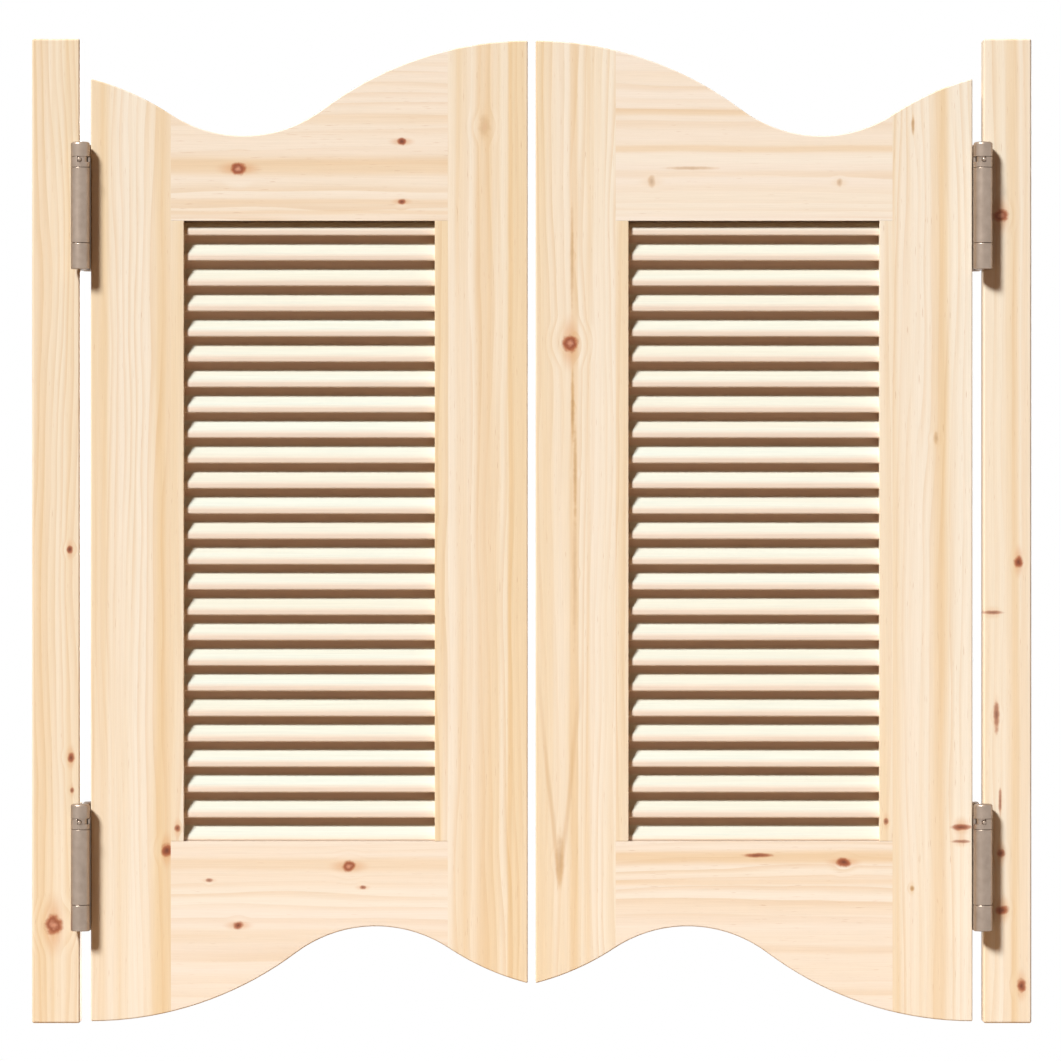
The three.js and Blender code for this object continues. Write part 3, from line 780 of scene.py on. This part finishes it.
def hinge_half(side, level, half):
    """One leaf of a hinge with its collar, stop pin, spindle and screws, on its own axis."""
    hinge = f"{side}_{level}_hinge"
    front = half == "front"
    body = "frame" if front else f"{side}_leaf"
    leaf_node = f"{hinge}_{'jamb' if front else 'door'}_leaf"
    collar_body = f"{side}_{level}_{half}_collar"
    axis = joint(f"{side}_{'front' if front else 'back'}_swing")["pos_m"][:2]
    back = 1 if front else -1  # from the axis towards the plate
    hand = 1 if side == "left" else -1
    inward = hand * back  # from the board into the gap
    leaf_low, leaf_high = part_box(leaf_node)
    web_low, web_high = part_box(f"{hinge}_web")
    collar_low, collar_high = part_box(f"{hinge}_{half}_collar")
    rod_low, rod_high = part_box(f"{hinge}_{half}_spindle")
    pin_low, pin_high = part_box(f"{hinge}_{half}_stop_pin")
    board_low, board_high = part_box(f"{side}_{'post' if front else 'hanging_stile'}")
    foot, rim = leaf_low.z, leaf_high.z
    radius = (collar_high.x - collar_low.x) / 2
    rod_radius = (rod_high.y - rod_low.y) / 2
    bore = radius - BARREL_WALL
    hole = rod_radius + STEEL_GAP
    half_board = abs(axis[1]) - radius - BARREL_STANDOFF
    face = board_high.x if inward > 0 else board_low.x

    # Leaf: plate against the board, tongues that join it to the two knuckles
    seat, proud = face + inward * STEEL_GAP, face + inward * (STEEL_GAP + PLATE_THICKNESS)
    near, far = -back * half_board, back * (half_board - PLATE_MARGIN)
    knuckles = ((foot, web_low.z - STEEL_GAP), (web_high.z + STEEL_GAP, rim))
    plate_low, plate_high = Vector((seat, near, foot)), Vector((proud, far, rim))
    plate = brick(plate_low, plate_high)
    ease(plate, STEEL_EASE)
    thin = inward * WELD_INSET
    root, tip = near + back * BARREL_WALL, axis[1] + back * (radius - BARREL_WALL / 2)
    tongues = [
        brick((seat + thin, tip, z0 + WELD_INSET), (proud - thin, root, z1 - WELD_INSET))
        for z0, z1 in knuckles
    ]
    top = knuckles[0][1]
    floor = foot + FLOOR_THICKNESS
    cup = [(0, foot), (radius, foot), (radius, top), (hole, top), (hole, floor), (0, floor)]
    lower = turned(cup, axis, BARREL_STEPS)
    ease(lower, KNUCKLE_EASE, segments=3)
    pointing = -back * math.pi / 2
    travel = math.radians(max(joint(f"{collar_body}_turn")["range_deg"], key=abs))
    slot = (pointing - hand * SLOT_MARGIN, pointing + travel + hand * SLOT_MARGIN)
    upper = knuckle_ring(axis, bore, radius, *knuckles[1], *slot)
    leaf = piece(f"{leaf_node}_steel", gather(plate, *tongues, lower, upper), STEEL)
    fit(leaf, body, "hinge_steel", leaf_node)

    # Collar: domed head, skirt, and four holes for the pin
    skirt = bore - 2 * STEEL_GAP
    head = collar_low.z + COLLAR_SKIRT
    dome = [
        (radius - COLLAR_DOME * (1 - math.sin(t)), collar_high.z - COLLAR_DOME * (1 - math.cos(t)))
        for t in DOME_ANGLES
    ]
    collar = turned(
        [(hole, collar_low.z), (skirt, collar_low.z), (skirt, head), (radius, head), *dome,
         (hole, collar_high.z), (hole, collar_low.z)], axis, BARREL_STEPS,
    )
    ease(collar, COLLAR_EASE, corner=COLLAR_CORNER)
    pin_radius = (pin_high.z - pin_low.z) / 2
    pin_height = (pin_low.z + pin_high.z) / 2
    middle = Matrix.Translation((*axis, pin_height))
    drill_radius = pin_radius + STEEL_GAP
    drills = []
    for number in range(COLLAR_HOLES):
        drill = turned([(0, 0), (drill_radius, 0), (drill_radius, radius), (0, radius)], (0, 0), PIN_STEPS)
        place = middle @ Matrix.Rotation(number * math.tau / COLLAR_HOLES, 4, "Z")
        bmesh.ops.transform(drill, matrix=place @ Matrix.Rotation(math.pi / 2, 4, "X"), verts=drill.verts)
        drills.append(drill)
    made = piece(f"{hinge}_{half}_collar_steel", drilled(collar, drills), STEEL)
    fit(made, collar_body, "hinge_steel", f"{hinge}_{half}_collar")

    # Stop pin with a rounded end, and the spindle with its slightly domed top
    inner, outer = sorted(abs(y - axis[1]) for y in (pin_low.y, pin_high.y))
    pin = turned([(0, inner), (pin_radius, inner), (pin_radius, outer), (0, outer)], (0, 0), PIN_STEPS)
    ease(pin, pin_radius / 2, segments=3)
    bmesh.ops.transform(pin, matrix=middle @ Matrix.Rotation(back * math.pi / 2, 4, "X"), verts=pin.verts)
    made = piece(f"{hinge}_{half}_stop_pin_steel", pin, STEEL)
    fit(made, collar_body, "hinge_steel", f"{hinge}_{half}_stop_pin")
    rod = turned(
        [(0, rod_low.z), (rod_radius, rod_low.z), (rod_radius, rod_high.z), (0, rod_high.z)], axis, PIN_STEPS,
    )
    ease(rod, rod_radius / 3, segments=3)
    made = piece(f"{hinge}_{half}_spindle_steel", rod, STEEL)
    fit(made, body, "hinge_steel", f"{hinge}_{half}_spindle")

    screws = piece(f"{leaf_node}_screws", plate_screws(plate_low, plate_high, inward), STEEL)
    fit(screws, body, "hinge_steel")


def web(side, level):
    """The middle of a hinge: two spring barrels and the plate that joins them."""
    hinge = f"{side}_{level}_hinge"
    low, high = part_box(f"{hinge}_web")
    collar_low, collar_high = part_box(f"{hinge}_front_collar")
    rod_low, rod_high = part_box(f"{hinge}_front_spindle")
    axes = [Vector(joint(f"{side}_{way}_swing")["pos_m"][:2]) for way in ("front", "back")]
    radius = (collar_high.x - collar_low.x) / 2
    bore, hole = radius - BARREL_WALL, (rod_high.y - rod_low.y) / 2 + STEEL_GAP
    floor = low.z + FLOOR_THICKNESS
    shapes = []
    for axis in axes:
        barrel = turned(
            [(hole, low.z), (radius, low.z), (radius, high.z), (bore, high.z), (bore, floor), (hole, floor),
             (hole, low.z)], axis, BARREL_STEPS,
        )
        ease(barrel, STEEL_EASE, segments=3, corner=SHARP_CORNER)
        shapes.append(barrel)
    along = axes[1] - axes[0]
    span = along.length - 2 * (radius - BARREL_WALL / 2)
    reach = Vector((WEB_THICKNESS / 2, span / 2, 0))
    rise = Vector((0, 0, WELD_INSET))
    plate = brick(Vector((0, 0, low.z)) - reach + rise, Vector((0, 0, high.z)) + reach - rise)
    middle = (axes[0] + axes[1]) / 2
    place = Matrix.Translation((*middle, 0)) @ Matrix.Rotation(-math.atan2(along.x, along.y), 4, "Z")
    bmesh.ops.transform(plate, matrix=place, verts=plate.verts)
    shapes.append(plate)
    fit(piece(f"{hinge}_web_steel", gather(*shapes), STEEL), f"{side}_webs", "hinge_steel", f"{hinge}_web")


def hinges():
    """All four hinges; the springs inside keep their CAD shape."""
    spring_steel = oiled_spring_steel()
    for side in SIDES:
        for level in LEVELS:
            web(side, level)
            for half in ("front", "rear"):
                hinge_half(side, level, half)
                spring = frame["nodes"][f"{side}_{level}_hinge_{half}_spring"]
                spring.data.materials.clear()
                spring.data.materials.append(spring_steel)


# Stage

def seen_directly(put):
    """One where the eye meets a surface, straight or in a reflection or through glass, and nought for
    the light that the surface sheds on others."""
    rays = put("LightPath").node.outputs
    seen = put("Math", (rays["Is Camera Ray"], rays["Is Glossy Ray"]), operation="MAXIMUM")
    seen = put("Math", (seen, rays["Is Transmission Ray"]), operation="MAXIMUM")
    straight = put("Math", (rays["Diffuse Depth"], 0.5), operation="LESS_THAN")
    return put("Math", (seen, straight), operation="MULTIPLY")


def stage():
    """A pale floor under the hanging doors, a soft high key light from the front left, a weaker fill
    from behind, and a long lens."""
    scene = bpy.context.scene
    scene.view_settings.view_transform = "Standard"

    # The floor fades out towards its rim, so that no edge shows against the white backdrop
    bm = bmesh.new()
    bmesh.ops.create_circle(bm, cap_ends=True, radius=FLOOR_RADIUS, segments=FLOOR_STEPS)
    bmesh.ops.translate(bm, vec=(0, 0, -FLOOR_DROP), verts=bm.verts)
    material, tree, shader, put = blank("pale_floor")
    direct = seen_directly(put)
    tree.links.new(layered(put, "#B08C66", [(direct, "#D6D3CE")]), shader["Base Color"])
    shader["Roughness"].default_value = 0.9
    far = put("VectorMath", (put("TexCoord", output="Object"),), operation="LENGTH", output=1)
    fade = put("MapRange", (far, *(FLOOR_RADIUS * share for share in FLOOR_FADE)))
    pale = put("MapRange", (direct, 0, 1, 0, FLOOR_GLOW))
    glow = put("Emission", {"Color": colour("#FFFFFF")})
    solid = put("MixShader", (pale, tree.nodes["Principled BSDF"].outputs[0], glow))
    fading = put("MixShader", (fade, solid, put("BsdfTransparent")))
    tree.links.new(fading, tree.nodes["Material Output"].inputs["Surface"])
    piece("floor", bm, material)

    # White where the eye or a reflection meets the backdrop, soft daylight for everything else
    world = bpy.data.worlds.new("studio")
    scene.world = world
    world.use_nodes = True
    world.node_tree.nodes.clear()
    put = functools.partial(add, world.node_tree)
    white = put("Background", {"Color": colour("#FFFFFF"), "Strength": 1.0})
    soft = put("Background", {"Color": colour("#FFAE74"), "Strength": DAYLIGHT})
    put("OutputWorld", {"Surface": put("MixShader", (seen_directly(put), soft, white))})

    for name, (energy, spread, hue, direction) in LAMPS.items():
        lamp = bpy.data.lights.new(name, "SUN")
        lamp.energy = energy
        lamp.angle = math.radians(spread)
        lamp.color = colour(hue)[:3]
        light = bpy.data.objects.new(name, lamp)
        light.rotation_euler = Vector(direction).to_track_quat("-Z", "Y").to_euler()
        scene.collection.objects.link(light)

    camera = bpy.data.objects.new("camera", bpy.data.cameras.new("camera"))
    scene.collection.objects.link(camera)
    scene.camera = camera
    camera.data.lens = LENS
    camera.data.sensor_width = SENSOR
    camera.data.clip_end = FARTHEST
    middle = PHOTO_PIXELS / 2
    camera.location = (
        (middle - DOORWAY_MIDDLE_PIXEL) * MM_PER_PIXEL * MM,
        -PHOTO_PIXELS * MM_PER_PIXEL * MM * LENS / SENSOR,
        (POST_FOOT_PIXEL - middle) * MM_PER_PIXEL * MM,
    )
    camera.rotation_euler = (math.radians(90), 0, 0)


boards()
louvres()
hinges()
stage()
